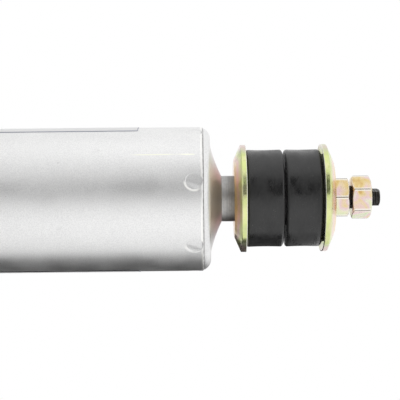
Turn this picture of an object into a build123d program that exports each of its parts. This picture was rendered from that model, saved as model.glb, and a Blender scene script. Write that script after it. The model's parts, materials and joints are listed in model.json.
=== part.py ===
from build123d import *
import math
import os

# Twin-tube gas damper with a stem mount at the top and an eye at the bottom.
# All sizes are in millimetres. The origin is the centre of the lower eye and +Z runs up the
# rod to the threaded stem. The damper is drawn fully extended.

# Gaps between pieces, each on the radius or along the axis
snug_gap = 0.05
running_gap = 0.04
meeting_gap = 0.3
finding_tolerance = 0.01

# Lower eye: steel ring, rubber bush and the steel sleeve for the bolt
sleeve_bore_dia = 14.2
sleeve_dia = 20.0
sleeve_length = 38.0
sleeve_edge = 0.6
eye_ring_dia = 42.0
eye_ring_wall = 4.0
eye_ring_width = 32.0
eye_ring_edge = 0.6
bush_lip_width = 1.5
bush_lip_thickness = 1.8
bush_lip_round = 0.6
bush_groove_radius = 1.4
eye_saddle_depth = 0.8
eye_weld_leg = 8.0
eye_weld_drop = 3.6
eye_weld_slope = 2.2
eye_weld_end_gap = 1.5

# Outer tube of the damper and its pressed bottom
reserve_dia = 57.0
reserve_wall = 1.8
oil_gap = 4.9
rolled_lip_reach = 4.5
rolled_lip_radius = 2.5
base_thickness = 3.0
base_side_height = 8.0
base_corner_radius = 7.0
base_inner_radius = 4.0
base_spigot_wall = 3.0
base_spigot_height = 7.0
base_weld_radius = 1.6

# Inner tube that the piston runs in
pressure_wall = 1.8

# Foot valve at the bottom of the inner tube
foot_height = 5.0
foot_ring_inset = 1.7
foot_ring_wall = 1.9
foot_slot_width = 9.0
foot_slot_count = 4
foot_flange_gap = 0.25
foot_flange_thickness = 6.0
foot_spigot_height = 6.0
foot_rivet_dia = 7.0
foot_head_dia = 12.0
foot_head_thickness = 2.0
foot_stop_dia = 19.0
foot_stop_thickness = 1.5
foot_intake_port_dia = 3.6
foot_port_rim = 0.4
foot_intake_port_count = 8
foot_bleed_pcd = 16.0
foot_bleed_port_dia = 3.0
foot_bleed_port_count = 4
foot_disc_dia = 23.0

# Shared by the check valves of the foot valve and the piston
plate_thickness = 0.8
plate_edge_gap = 1.6
plate_window_dia = 3.2
plate_guide_gap = 0.3
plate_lift = 1.0
spring_sheet = 0.4
spring_flat_height = 1.2
spring_finger_count = 6
spring_slot_width = 3.0
disc_thickness = 0.4
disc_count = 3
disc_step = 4.0

# Rod, piston and what is clamped on the rod's lower stud
rod_dia = 20.0
stroke = 200.0
stroke_end_gap = 3.5
piston_stud_dia = 14.0
piston_stud_end = 1.5
piston_nut_flats = 22.0
piston_nut_height = 10.0
rebound_washer_dia = 19.0
rebound_washer_thickness = 2.5
piston_height = 14.0
piston_wall_gap = 0.35
band_width = 8.0
band_thickness = 1.5
band_split_width = 0.8
piston_port_count = 6
rebound_port_pcd = 23.0
rebound_port_dia = 3.0
intake_port_dia = 3.6
intake_port_rim = 1.1
rebound_disc_dia = 27.0
spacer_dia = 18.0
intake_stop_dia = 26.0
intake_stop_thickness = 2.0
rebound_stop_rise = 20.0
rebound_stop_dia = 30.0
rebound_stop_thickness = 4.0
bumper_dia = 31.0
bumper_height = 10.0
bumper_round = 2.5

# Rod guide, bush, seal and closing plate at the top of the tubes
guide_spigot_height = 7.0
guide_flange_thickness = 10.0
guide_return_dia = 2.4
guide_return_count = 3
guide_bush_wall = 1.5
guide_bush_length = 14.0
seal_height = 8.0
seal_web_thickness = 3.0
seal_lip_wall = 3.0
seal_rim_wall = 4.5
seal_plate_thickness = 2.5
seal_plate_gap = 2.0

# Dust cover, with a ring of stake marks near its upper end
cover_gap = 2.5
cover_wall = 1.5
cover_overlap = 28.0
cover_stop_gap = 3.0
cover_end_round = 1.1
stake_count = 7
stake_dia = 7.7
stake_depth = 0.22
stake_slide = -0.9
stake_tilt = 1.2
stake_inset = 4.2
stake_turn = -103.5

# Drawn cap in the cover's upper end, with a flared neck round the rod
cap_sheet = 2.0
cap_rise = 3.0
cap_skirt_height = 9.0
cap_crown_radius = 5.0
cap_crown_inset = 0.1
cap_inner_radius = 1.0
cap_neck_dia = 48.0
cap_neck_rise = 5.0
cap_neck_sag = 0.4
cap_weld_leg = 2.0

# Stem at the top of the rod
shoulder_step = 0.3
shoulder_rise = 5.5
shoulder_depth = 12.0
stem_dia = 10.0
stem_thread_end = 0.2
stem_square = 6.44
stem_square_length = 4.6
stem_square_turn = -32.0
stem_end_edge = 0.9

# Dished washers and rubbers of the top mount
cup_dia = 48.5
cup_sheet = 2.3
cup_depth = 3.1
cup_flat_dia = 34.6
cup_edge = 0.4
cup_bend = 2.5
cup_bore_gap = 0.2
rubber_inset = 2.3
rubber_length = 19.55
rubber_gap = 1.0
rubber_waist = 0.4
rubber_edge = 1.1
rubber_bore_gap = 0.3
spigot_dia = 25.0
spigot_height = 5.0
spigot_gap = 0.3

# Hexagon nuts on the stem
nut_flats = 17.0
thin_nut_height = 6.8
thin_nut_turn = 30.0
nut_spacing = 1.6
lock_nut_height = 8.5
lock_nut_turn = 8.0
nut_edge = 1.3
nut_edge_drop = 0.75

# Heights worked out from the sizes above, from the lower eye upwards
spring_height = spring_flat_height + plate_lift
disc_stack = disc_count * disc_thickness
base_bottom = eye_ring_dia / 2 - eye_saddle_depth
base_floor = base_bottom + base_thickness
reserve_bottom = base_bottom + base_side_height
foot_seat = base_floor + foot_height
pressure_bottom = foot_seat + foot_flange_thickness
foot_top = pressure_bottom + foot_spigot_height
foot_stop_bottom = foot_top + plate_thickness + spring_height
foot_stop_top = foot_stop_bottom + foot_stop_thickness

rod_end = foot_stop_top + stroke + stroke_end_gap
piston_nut_bottom = rod_end + piston_stud_end
rebound_washer_bottom = piston_nut_bottom + piston_nut_height
rebound_disc_bottom = rebound_washer_bottom + rebound_washer_thickness
piston_bottom = rebound_disc_bottom + disc_stack
piston_top = piston_bottom + piston_height
intake_stop_bottom = piston_top + plate_thickness + spring_height
rod_step = intake_stop_bottom + intake_stop_thickness
rebound_stop_bottom = rod_step + rebound_stop_rise
rebound_stop_top = rebound_stop_bottom + rebound_stop_thickness
bumper_top = rebound_stop_top + bumper_height

guide_bottom = bumper_top + meeting_gap
pressure_top = guide_bottom + guide_spigot_height
seal_bottom = pressure_top + guide_flange_thickness
seal_plate_bottom = seal_bottom + seal_height
lip_bottom = seal_plate_bottom + seal_plate_thickness
reserve_top = lip_bottom + reserve_wall

cover_bottom = reserve_top - cover_overlap
skirt_bottom = reserve_top + stroke + cover_stop_gap
cover_top = skirt_bottom + cap_skirt_height
cap_top = cover_top + cap_rise
neck_top = cap_top + cap_neck_rise
lower_cup_seat = neck_top + shoulder_rise
lower_rubber_bottom = lower_cup_seat + cup_sheet
rubber_joint = lower_rubber_bottom + rubber_length
upper_rubber_bottom = rubber_joint + rubber_gap
upper_cup_bottom = upper_rubber_bottom + rubber_length
upper_cup_seat = upper_cup_bottom + cup_sheet
thin_nut_top = upper_cup_seat + thin_nut_height
lock_nut_bottom = thin_nut_top + nut_spacing
lock_nut_top = lock_nut_bottom + lock_nut_height
stem_square_bottom = lock_nut_top - stem_thread_end
stem_top = stem_square_bottom + stem_square_length

# Diameters that follow from the fits
reserve_bore_dia = reserve_dia - 2 * reserve_wall
reserve_fit_dia = reserve_bore_dia - 2 * snug_gap
pressure_dia = reserve_bore_dia - 2 * oil_gap
pressure_bore_dia = pressure_dia - 2 * pressure_wall
pressure_fit_dia = pressure_bore_dia - 2 * snug_gap
base_spigot_bore_dia = reserve_fit_dia - 2 * base_spigot_wall
foot_ring_dia = pressure_bore_dia - 2 * foot_ring_inset
foot_ring_bore_dia = foot_ring_dia - 2 * foot_ring_wall
foot_intake_pcd = foot_ring_bore_dia - 2 * foot_port_rim - foot_intake_port_dia
plate_dia = pressure_bore_dia - 2 * plate_edge_gap
piston_dia = pressure_bore_dia - 2 * piston_wall_gap
band_dia = pressure_bore_dia - 2 * running_gap
band_seat_dia = band_dia - 2 * band_thickness - 2 * running_gap
intake_port_pcd = band_seat_dia - 2 * intake_port_rim - intake_port_dia
rod_pass_dia = rod_dia + 2 * running_gap
guide_bush_dia = rod_pass_dia + 2 * guide_bush_wall
cover_bore_dia = reserve_dia + 2 * cover_gap
cover_dia = cover_bore_dia + 2 * cover_wall
cap_dia = cover_bore_dia - 2 * snug_gap
shoulder_dia = rod_dia + 2 * shoulder_step
cap_bore_dia = shoulder_dia + 2 * snug_gap
rubber_dia = cup_dia - 2 * rubber_inset

# Slopes that two pieces share
cap_neck_run = (cap_neck_dia - cap_bore_dia) / 2
cap_neck_length = math.hypot(cap_neck_run, cap_neck_rise)
cap_neck_sheet = cap_sheet * cap_neck_length / cap_neck_run
cap_neck_lean = math.atan2(cap_neck_rise, cap_neck_run) + 2 * math.atan2(2 * cap_neck_sag, cap_neck_length)
cup_slope = 2 * cup_depth / (cup_dia - cup_flat_dia)
cup_inner_shift = cup_sheet * math.tan(math.atan(cup_slope) / 2)


def bar(dia, low, high):
    """A round bar on the rod's axis between two heights."""
    along = (Align.CENTER, Align.CENTER, Align.MIN)
    return Pos(0, 0, low) * Cylinder(dia / 2, high - low, align=along)


def ring(dia, bore_dia, low, high):
    """A plain ring on the rod's axis between two heights."""
    return bar(dia, low, high) - bar(bore_dia, low, high)


def turned(*points):
    """A turned piece from a closed outline of (radius, height) points."""
    outline = Polyline(*[(radius, 0, height) for radius, height in points], close=True)
    return revolve(make_face(outline), Axis.Z)


def rims(piece, dia, height):
    """The circular edges of one diameter at one height."""
    return [
        edge
        for edge in piece.edges().filter_by(GeomType.CIRCLE)
        if abs(edge.radius - dia / 2) < finding_tolerance
        and abs(edge.arc_center.Z - height) < finding_tolerance
    ]


def ports(pcd, dia, count, low, high, turn=0):
    """Drillings along the axis, spaced evenly round a circle."""
    return [spot * bar(dia, low, high) for spot in PolarLocations(pcd / 2, count, start_angle=turn)]


def across(piece):
    """Turn a piece from the rod's axis to the axis of the lower eye."""
    return Rot(90, 0, 0) * piece


def hex_nut(flats, height, bottom, bore_dia, turn):
    """A hexagon nut with its corners chamfered on both faces."""
    corners_dia = flats / math.cos(math.radians(30))
    blank = Pos(0, 0, bottom) * extrude(
        RegularPolygon(flats / 2, 6, major_radius=False, rotation=turn), height
    )
    crown = turned(
        (0, bottom),
        (corners_dia / 2 - nut_edge, bottom),
        (corners_dia / 2, bottom + nut_edge_drop),
        (corners_dia / 2, bottom + height - nut_edge_drop),
        (corners_dia / 2 - nut_edge, bottom + height),
        (0, bottom + height),
    )
    return (blank & crown) - bar(bore_dia, bottom, bottom + height)


def check_plate(guide_dia, window_pcd, window_count, seat):
    """A thin plate that covers the outer ports and lets oil through its windows."""
    bore_dia = guide_dia + 2 * plate_guide_gap
    plate = ring(plate_dia, bore_dia, seat, seat + plate_thickness)
    return plate - ports(window_pcd, plate_window_dia, window_count, seat, seat + plate_thickness)


def star_spring(bore_dia, hub_dia, foot):
    """A dished spring with fingers that press on a check plate."""
    top = foot + spring_height
    toe = plate_dia / 2 - plate_edge_gap
    dish = turned(
        (bore_dia / 2, top - spring_sheet),
        (hub_dia / 2, top - spring_sheet),
        (toe, foot),
        (toe, foot + spring_sheet),
        (hub_dia / 2, top),
        (bore_dia / 2, top),
    )
    reach = toe - hub_dia / 2 + snug_gap
    slot = Box(reach, spring_slot_width, spring_height, align=(Align.MIN, Align.CENTER, Align.MIN))
    slots = [Pos(0, 0, foot) * spot * slot for spot in PolarLocations(hub_dia / 2, spring_finger_count)]
    return dish - slots


def disc_stack_under(seat, largest_dia, bore_dia):
    """Thin valve discs stacked under a seat, each smaller than the one above."""
    discs = []
    for place in range(disc_count):
        top = seat - place * disc_thickness
        discs.append(ring(largest_dia - place * disc_step, bore_dia, top - disc_thickness, top))
    return Compound(children=discs)


def make_lower_sleeve():
    """Steel sleeve that the mounting bolt passes through."""
    half = sleeve_length / 2
    sleeve = ring(sleeve_dia, sleeve_bore_dia, -half, half)
    edges = rims(sleeve, sleeve_dia, half) + rims(sleeve, sleeve_dia, -half)
    return across(chamfer(edges, sleeve_edge))


def make_lower_bush():
    """Rubber bush with a lip over each face of the eye ring."""
    half = eye_ring_width / 2
    face = half + bush_lip_thickness
    body_dia = eye_ring_dia - 2 * eye_ring_wall - 2 * snug_gap
    lip_dia = body_dia + 2 * bush_lip_width
    bore_dia = sleeve_dia + 2 * running_gap
    bush = ring(body_dia, bore_dia, -face, face)
    bush += ring(lip_dia, bore_dia, half, face) + ring(lip_dia, bore_dia, -face, -half)
    lip_edges = rims(bush, lip_dia, face) + rims(bush, lip_dia, -face)
    bush = fillet(lip_edges, bush_lip_round)
    groove_ring = (body_dia + bore_dia) / 4
    for end in (-face, face):
        bush -= Pos(0, 0, end) * Torus(groove_ring, bush_groove_radius)
    return across(bush)


def make_eye_ring():
    """Steel ring welded under the base."""
    half = eye_ring_width / 2
    eye = ring(eye_ring_dia, eye_ring_dia - 2 * eye_ring_wall, -half, half)
    edges = rims(eye, eye_ring_dia, half) + rims(eye, eye_ring_dia, -half)
    return across(chamfer(edges, eye_ring_edge))


def make_eye_weld():
    """Fillet weld on both sides of the ring, under the base."""
    root = math.sqrt((eye_ring_dia / 2) ** 2 - base_bottom**2)
    toe_x = root + eye_weld_leg
    toe_z = base_bottom - eye_weld_drop
    outline = Polyline(
        (0, 0, base_bottom),
        (toe_x, 0, base_bottom),
        (toe_x, 0, toe_z + eye_weld_slope),
        (toe_x - eye_weld_slope, 0, toe_z),
        (0, 0, toe_z),
        close=True,
    )
    half = eye_ring_width / 2 - eye_weld_end_gap
    side = extrude(make_face(outline), half, dir=(0, 1, 0), both=True)
    blank = side + mirror(side, Plane.YZ)
    return blank - across(bar(eye_ring_dia + 2 * snug_gap, -eye_ring_width, eye_ring_width))


def make_base_cap():
    """Pressed bottom of the outer tube, with a spigot inside it."""
    top = reserve_bottom + base_spigot_height
    cap = bar(reserve_dia, base_bottom, reserve_bottom) + bar(reserve_fit_dia, reserve_bottom, top)
    cap = fillet(rims(cap, reserve_dia, base_bottom), base_corner_radius)
    hollow = bar(base_spigot_bore_dia, base_floor, top)
    hollow = fillet(rims(hollow, base_spigot_bore_dia, base_floor), base_inner_radius)
    half = eye_ring_width / 2 + snug_gap
    saddle = across(bar(eye_ring_dia + 2 * snug_gap, -half, half))
    return cap - hollow - saddle


def make_base_weld():
    """Weld bead round the seam of the outer tube and its base."""
    bead = Pos(0, 0, reserve_bottom) * Torus(reserve_dia / 2, base_weld_radius)
    low = reserve_bottom - base_weld_radius
    high = reserve_bottom + base_weld_radius
    return bead - bar(reserve_dia + 2 * snug_gap, low, high)


def make_reserve_tube():
    """Outer tube with its upper end rolled inwards over the closing plate."""
    tube = ring(reserve_dia, reserve_bore_dia, reserve_bottom, reserve_top)
    lip_bore_dia = reserve_dia - 2 * rolled_lip_reach
    tube += ring(reserve_dia, lip_bore_dia, lip_bottom, reserve_top)
    return fillet(rims(tube, reserve_dia, reserve_top), rolled_lip_radius)


def make_pressure_tube():
    """Inner tube between the foot valve and the rod guide."""
    return ring(pressure_dia, pressure_bore_dia, pressure_bottom, pressure_top)


def make_foot_valve_body():
    """Foot valve body: slotted feet, flange and a spigot in the inner tube."""
    flange_dia = base_spigot_bore_dia - 2 * foot_flange_gap
    body = ring(foot_ring_dia, foot_ring_bore_dia, base_floor, foot_seat)
    slot = Box(foot_ring_dia, foot_slot_width, foot_height, align=(Align.MIN, Align.CENTER, Align.MIN))
    body -= [Pos(0, 0, base_floor) * spot * slot for spot in PolarLocations(0, foot_slot_count)]
    body += bar(flange_dia, foot_seat, pressure_bottom)
    body += bar(pressure_fit_dia, pressure_bottom, foot_top)
    body -= bar(foot_rivet_dia + 2 * snug_gap, foot_seat, foot_top)
    body -= ports(foot_intake_pcd, foot_intake_port_dia, foot_intake_port_count, foot_seat, foot_top)
    body -= ports(foot_bleed_pcd, foot_bleed_port_dia, foot_bleed_port_count, foot_seat, foot_top)
    return body


def make_foot_valve_discs():
    """Discs that open when the rod is pushed in."""
    return disc_stack_under(foot_seat, foot_disc_dia, foot_rivet_dia + 2 * snug_gap)


def make_foot_valve_rivet():
    """Rivet that holds the discs, and the stop of the check plate at its top."""
    head_top = foot_seat - disc_stack
    rivet = bar(foot_head_dia, head_top - foot_head_thickness, head_top)
    rivet += bar(foot_rivet_dia, head_top, foot_stop_bottom)
    return rivet + bar(foot_stop_dia, foot_stop_bottom, foot_stop_top)


def make_foot_intake_plate():
    """Check plate that lets oil back into the inner tube."""
    return check_plate(foot_rivet_dia, foot_bleed_pcd, foot_bleed_port_count, foot_top)


def make_foot_star_spring():
    """Spring between the foot valve's check plate and its stop."""
    return star_spring(foot_rivet_dia + 2 * plate_guide_gap, foot_stop_dia, foot_top + plate_thickness)


def make_rod_guide():
    """Guide that closes the inner tube and carries the bush."""
    guide = bar(pressure_fit_dia, guide_bottom, pressure_top)
    guide += bar(reserve_fit_dia, pressure_top, seal_bottom)
    guide -= bar(guide_bush_dia + 2 * snug_gap, guide_bottom, seal_bottom)
    return_pcd = (pressure_dia + reserve_bore_dia) / 2
    return guide - ports(return_pcd, guide_return_dia, guide_return_count, pressure_top, seal_bottom)


def make_guide_bush():
    """Plain bearing bush that the rod runs in."""
    return ring(guide_bush_dia, rod_pass_dia, seal_bottom - guide_bush_length, seal_bottom)


def make_oil_seal():
    """Seal with a thick rim, a web and a lip ring round the rod."""
    middle = seal_bottom + seal_height / 2
    seal = ring(reserve_fit_dia, reserve_fit_dia - 2 * seal_rim_wall, seal_bottom, seal_plate_bottom)
    seal += ring(
        reserve_fit_dia, rod_pass_dia, middle - seal_web_thickness / 2, middle + seal_web_thickness / 2
    )
    return seal + ring(rod_pass_dia + 2 * seal_lip_wall, rod_pass_dia, seal_bottom, seal_plate_bottom)


def make_seal_plate():
    """Steel plate held down by the rolled lip of the outer tube."""
    return ring(reserve_fit_dia, rod_dia + 2 * seal_plate_gap, seal_plate_bottom, lip_bottom)


def make_piston_rod():
    """Rod with the piston stud below, and the shoulder, stem and square above."""
    rod = bar(piston_stud_dia, rod_end, rod_step)
    rod += bar(rod_dia, rod_step, lower_cup_seat - shoulder_depth)
    rod += bar(shoulder_dia, lower_cup_seat - shoulder_depth, lower_cup_seat)
    rod += bar(stem_dia, lower_cup_seat, stem_square_bottom)
    square = RegularPolygon(stem_square / 2, 4, major_radius=False, rotation=stem_square_turn)
    tip = Pos(0, 0, stem_square_bottom) * extrude(square, stem_square_length)
    tip &= turned(
        (0, stem_square_bottom),
        (stem_dia / 2, stem_square_bottom),
        (stem_dia / 2, stem_top - stem_end_edge),
        (stem_dia / 2 - 2 * stem_end_edge, stem_top),
        (0, stem_top),
    )
    return rod + tip


def make_rebound_stop():
    """Plate swaged on the rod that carries the bumper."""
    stop_bore_dia = rod_dia + 2 * snug_gap
    stop = ring(rebound_stop_dia, stop_bore_dia, rebound_stop_bottom, rebound_stop_top)
    return chamfer(rims(stop, rebound_stop_dia, rebound_stop_bottom), rebound_stop_thickness / 4)


def make_rebound_bumper():
    """Rubber ring that meets the guide when the damper is fully out."""
    bumper = ring(bumper_dia, rod_dia + 2 * snug_gap, rebound_stop_top, bumper_top)
    return fillet(rims(bumper, bumper_dia, bumper_top), bumper_round)


def make_intake_stop():
    """Washer that limits the lift of the piston's check plate."""
    return ring(intake_stop_dia, piston_stud_dia + 2 * snug_gap, intake_stop_bottom, rod_step)


def make_piston_spacer():
    """Spacer that the check plate is guided on."""
    return ring(spacer_dia, piston_stud_dia + 2 * snug_gap, piston_top, intake_stop_bottom)


def make_piston_star_spring():
    """Spring between the piston's check plate and its stop."""
    return star_spring(spacer_dia + 2 * plate_guide_gap, intake_stop_dia, piston_top + plate_thickness)


def make_piston_intake_plate():
    """Check plate that opens when the rod is pushed in."""
    return check_plate(spacer_dia, rebound_port_pcd, piston_port_count, piston_top)


def make_piston():
    """Piston with its two rings of ports and the groove for the band."""
    piston = ring(piston_dia, piston_stud_dia + 2 * snug_gap, piston_bottom, piston_top)
    middle = (piston_bottom + piston_top) / 2
    groove = band_width / 2 + running_gap
    piston -= ring(piston_dia, band_seat_dia, middle - groove, middle + groove)
    piston -= ports(rebound_port_pcd, rebound_port_dia, piston_port_count, piston_bottom, piston_top)
    half_pitch = 180 / piston_port_count
    return piston - ports(
        intake_port_pcd, intake_port_dia, piston_port_count, piston_bottom, piston_top, half_pitch
    )


def make_piston_band():
    """Split sliding band round the piston."""
    middle = (piston_bottom + piston_top) / 2
    low = middle - band_width / 2
    band = ring(band_dia, band_dia - 2 * band_thickness, low, low + band_width)
    split = Box(band_dia, band_split_width, band_width, align=(Align.MIN, Align.CENTER, Align.MIN))
    return band - Pos(0, 0, low) * split


def make_rebound_discs():
    """Discs that open when the rod is pulled out."""
    return disc_stack_under(piston_bottom, rebound_disc_dia, piston_stud_dia + 2 * snug_gap)


def make_rebound_washer():
    """Washer that clamps the discs."""
    stud_pass_dia = piston_stud_dia + 2 * snug_gap
    return ring(rebound_washer_dia, stud_pass_dia, rebound_washer_bottom, rebound_disc_bottom)


def make_piston_nut():
    """Nut on the rod's lower stud."""
    stud_pass_dia = piston_stud_dia + 2 * snug_gap
    return hex_nut(piston_nut_flats, piston_nut_height, piston_nut_bottom, stud_pass_dia, 0)


def make_dust_cover():
    """Steel cover with shallow stake marks, each deepest on one side."""
    cover = ring(cover_dia, cover_bore_dia, cover_bottom, cover_top)
    cover = fillet(rims(cover, cover_dia, cover_top), cover_end_round)
    radius = cover_dia / 2
    along = (Align.CENTER, Align.CENTER, Align.MAX)
    punch = Rot(0, 90, 0) * Cone(stake_dia / 2 - cover_wall, stake_dia / 2, cover_wall, align=along)
    floor = Pos(-radius - stake_depth, stake_slide, 0) * Rot(0, stake_tilt, 0) * Cylinder(radius, stake_dia)
    mark = punch - floor
    height = cover_top - stake_inset
    for spot in PolarLocations(radius, stake_count, start_angle=stake_turn):
        cover -= Pos(0, 0, height) * spot * mark
    return cover


def make_cover_cap():
    """Drawn cap with a skirt in the cover, a crown on its end and a flared neck round the shoulder."""
    side = cap_dia / 2
    inner_side = side - cap_sheet
    foot = cap_neck_dia / 2
    bore = cap_bore_dia / 2
    crown_edge = cover_dia / 2 - cap_crown_inset - cap_crown_radius
    crown_centre = cap_top - cap_crown_radius
    crown_lean = math.asin((cover_top - crown_centre) / cap_crown_radius)
    mid_radius = (foot + bore) / 2 - cap_neck_sag * cap_neck_rise / cap_neck_length
    mid_height = (cap_top + neck_top) / 2 - cap_neck_sag * cap_neck_run / cap_neck_length
    inner_top = cap_top - cap_sheet
    inner_neck_top = neck_top - cap_neck_sheet
    inner_mid_height = mid_height - (cap_sheet + cap_neck_sheet) / 2
    crown_foot = (crown_edge + cap_crown_radius * math.cos(crown_lean), 0, cover_top)
    crown_middle_lean = (crown_lean + math.pi / 2) / 2
    crown_middle = (
        crown_edge + cap_crown_radius * math.cos(crown_middle_lean),
        0,
        crown_centre + cap_crown_radius * math.sin(crown_middle_lean),
    )
    outline = [
        Line((side, 0, skirt_bottom), (side, 0, cover_top)),
        Line((side, 0, cover_top), crown_foot),
        ThreePointArc(crown_foot, crown_middle, (crown_edge, 0, cap_top)),
        Line((crown_edge, 0, cap_top), (foot, 0, cap_top)),
        ThreePointArc((foot, 0, cap_top), (mid_radius, 0, mid_height), (bore, 0, neck_top)),
        Line((bore, 0, neck_top), (bore, 0, inner_neck_top)),
        ThreePointArc((bore, 0, inner_neck_top), (mid_radius, 0, inner_mid_height), (foot, 0, inner_top)),
        Line((foot, 0, inner_top), (inner_side, 0, inner_top)),
        Line((inner_side, 0, inner_top), (inner_side, 0, skirt_bottom)),
        Line((inner_side, 0, skirt_bottom), (side, 0, skirt_bottom)),
    ]
    cap = revolve(make_face(outline), Axis.Z)
    return fillet(rims(cap, 2 * inner_side, inner_top), cap_inner_radius)


def make_cap_weld():
    """Fillet weld between the shoulder and the underside of the neck."""
    root = neck_top - cap_neck_sheet
    neck_drop = cap_weld_leg * math.tan(cap_neck_lean)
    return turned(
        (cap_bore_dia / 2, root - snug_gap),
        (cap_bore_dia / 2, root - cap_weld_leg),
        (cap_bore_dia / 2 + cap_weld_leg, root - snug_gap - neck_drop),
    )


def cup_washer(flat, open_side):
    """A dished washer of flat middle and cone. open_side is 1 for open upwards, -1 downwards."""
    bore = stem_dia / 2 + cup_bore_gap
    side = cup_dia / 2
    bend = cup_flat_dia / 2
    sheet = open_side * cup_sheet
    depth = open_side * cup_depth
    cup = turned(
        (bore, flat),
        (bend, flat),
        (side, flat + depth),
        (side, flat + depth + sheet),
        (side - cup_inner_shift, flat + depth + sheet),
        (bend - cup_inner_shift, flat + sheet),
        (bore, flat + sheet),
    )
    cup = fillet(rims(cup, cup_flat_dia, flat), cup_bend)
    return fillet(rims(cup, cup_dia, flat + depth), cup_edge)


def mount_rubber(nose, joint):
    """A rubber ring whose nose fills the dish of a washer and whose other end faces its twin."""
    way = math.copysign(1, joint - nose)
    bore = stem_dia / 2 + rubber_bore_gap
    side = rubber_dia / 2
    nose_radius = cup_flat_dia / 2 - cup_inner_shift - meeting_gap
    nose_side = nose + way * (side - nose_radius) * cup_slope
    middle = (nose_side + joint) / 2
    outline = [
        Line((bore, 0, nose), (nose_radius, 0, nose)),
        Line((nose_radius, 0, nose), (side, 0, nose_side)),
        ThreePointArc((side, 0, nose_side), (side - rubber_waist, 0, middle), (side, 0, joint)),
        Line((side, 0, joint), (bore, 0, joint)),
        Line((bore, 0, joint), (bore, 0, nose)),
    ]
    rubber = revolve(make_face(outline), Axis.Z)
    return fillet(rims(rubber, rubber_dia, joint), rubber_edge)


def make_lower_cup_washer():
    """Dished washer on the rod's shoulder, open upwards."""
    return cup_washer(lower_cup_seat, 1)


def make_lower_mount_rubber():
    """Lower half of the rubber mount, with the spigot that locates it."""
    rubber = mount_rubber(lower_rubber_bottom, rubber_joint)
    bore_dia = stem_dia + 2 * rubber_bore_gap
    return rubber + ring(spigot_dia, bore_dia, rubber_joint, rubber_joint + spigot_height)


def make_upper_mount_rubber():
    """Upper half of the rubber mount, whose recess rests on the end of the spigot."""
    rubber = mount_rubber(upper_cup_bottom, upper_rubber_bottom)
    return rubber - bar(spigot_dia + 2 * spigot_gap, upper_rubber_bottom, rubber_joint + spigot_height)


def make_upper_cup_washer():
    """Dished washer over the upper rubber, open downwards."""
    return cup_washer(upper_cup_seat, -1)


def make_thin_nut():
    """Thin nut that clamps the top mount."""
    return hex_nut(nut_flats, thin_nut_height, upper_cup_seat, stem_dia + 2 * snug_gap, thin_nut_turn)


def make_lock_nut():
    """Full nut that locks the thin one."""
    return hex_nut(nut_flats, lock_nut_height, lock_nut_bottom, stem_dia + 2 * snug_gap, lock_nut_turn)


pieces = {
    "lower_sleeve": make_lower_sleeve,
    "lower_bush": make_lower_bush,
    "eye_ring": make_eye_ring,
    "eye_weld": make_eye_weld,
    "base_cap": make_base_cap,
    "base_weld": make_base_weld,
    "reserve_tube": make_reserve_tube,
    "pressure_tube": make_pressure_tube,
    "foot_valve_body": make_foot_valve_body,
    "foot_valve_discs": make_foot_valve_discs,
    "foot_valve_rivet": make_foot_valve_rivet,
    "foot_intake_plate": make_foot_intake_plate,
    "foot_star_spring": make_foot_star_spring,
    "rod_guide": make_rod_guide,
    "guide_bush": make_guide_bush,
    "oil_seal": make_oil_seal,
    "seal_plate": make_seal_plate,
    "piston_rod": make_piston_rod,
    "rebound_stop": make_rebound_stop,
    "rebound_bumper": make_rebound_bumper,
    "intake_stop": make_intake_stop,
    "piston_spacer": make_piston_spacer,
    "piston_star_spring": make_piston_star_spring,
    "piston_intake_plate": make_piston_intake_plate,
    "piston": make_piston,
    "piston_band": make_piston_band,
    "rebound_discs": make_rebound_discs,
    "rebound_washer": make_rebound_washer,
    "piston_nut": make_piston_nut,
    "dust_cover": make_dust_cover,
    "cover_cap": make_cover_cap,
    "cap_weld": make_cap_weld,
    "lower_cup_washer": make_lower_cup_washer,
    "lower_mount_rubber": make_lower_mount_rubber,
    "upper_mount_rubber": make_upper_mount_rubber,
    "upper_cup_washer": make_upper_cup_washer,
    "thin_nut": make_thin_nut,
    "lock_nut": make_lock_nut,
}

os.makedirs("parts", exist_ok=True)
for node, make in pieces.items():
    export_step(make(), f"parts/{node}.step")
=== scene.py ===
import json
import logging
import math
from dataclasses import dataclass, field
from enum import Enum

import bmesh
import bpy
from mathutils import Matrix, Vector


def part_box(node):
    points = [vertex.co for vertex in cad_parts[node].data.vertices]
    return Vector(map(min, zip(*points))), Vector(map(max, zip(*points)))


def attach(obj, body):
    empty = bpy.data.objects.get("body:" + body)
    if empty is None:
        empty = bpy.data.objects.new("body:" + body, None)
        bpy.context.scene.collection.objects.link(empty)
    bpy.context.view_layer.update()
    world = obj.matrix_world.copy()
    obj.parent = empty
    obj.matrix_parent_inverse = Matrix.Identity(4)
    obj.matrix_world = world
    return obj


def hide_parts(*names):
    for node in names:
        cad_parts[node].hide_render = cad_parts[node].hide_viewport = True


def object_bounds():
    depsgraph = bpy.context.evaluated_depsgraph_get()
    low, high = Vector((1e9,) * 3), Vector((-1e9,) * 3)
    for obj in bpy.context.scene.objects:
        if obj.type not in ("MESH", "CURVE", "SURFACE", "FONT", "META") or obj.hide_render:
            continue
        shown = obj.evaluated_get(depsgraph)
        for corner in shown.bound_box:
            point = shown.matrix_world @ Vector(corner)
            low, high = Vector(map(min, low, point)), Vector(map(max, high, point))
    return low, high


# Finishes, small trim, studio and camera of a telescopic damper with a stem mount.
# Sizes are in metres. The origin is the centre of the lower eye and +Z runs up the rod.
# Angles round the rod are in degrees from the front (-Y), and grow towards -X.

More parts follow.
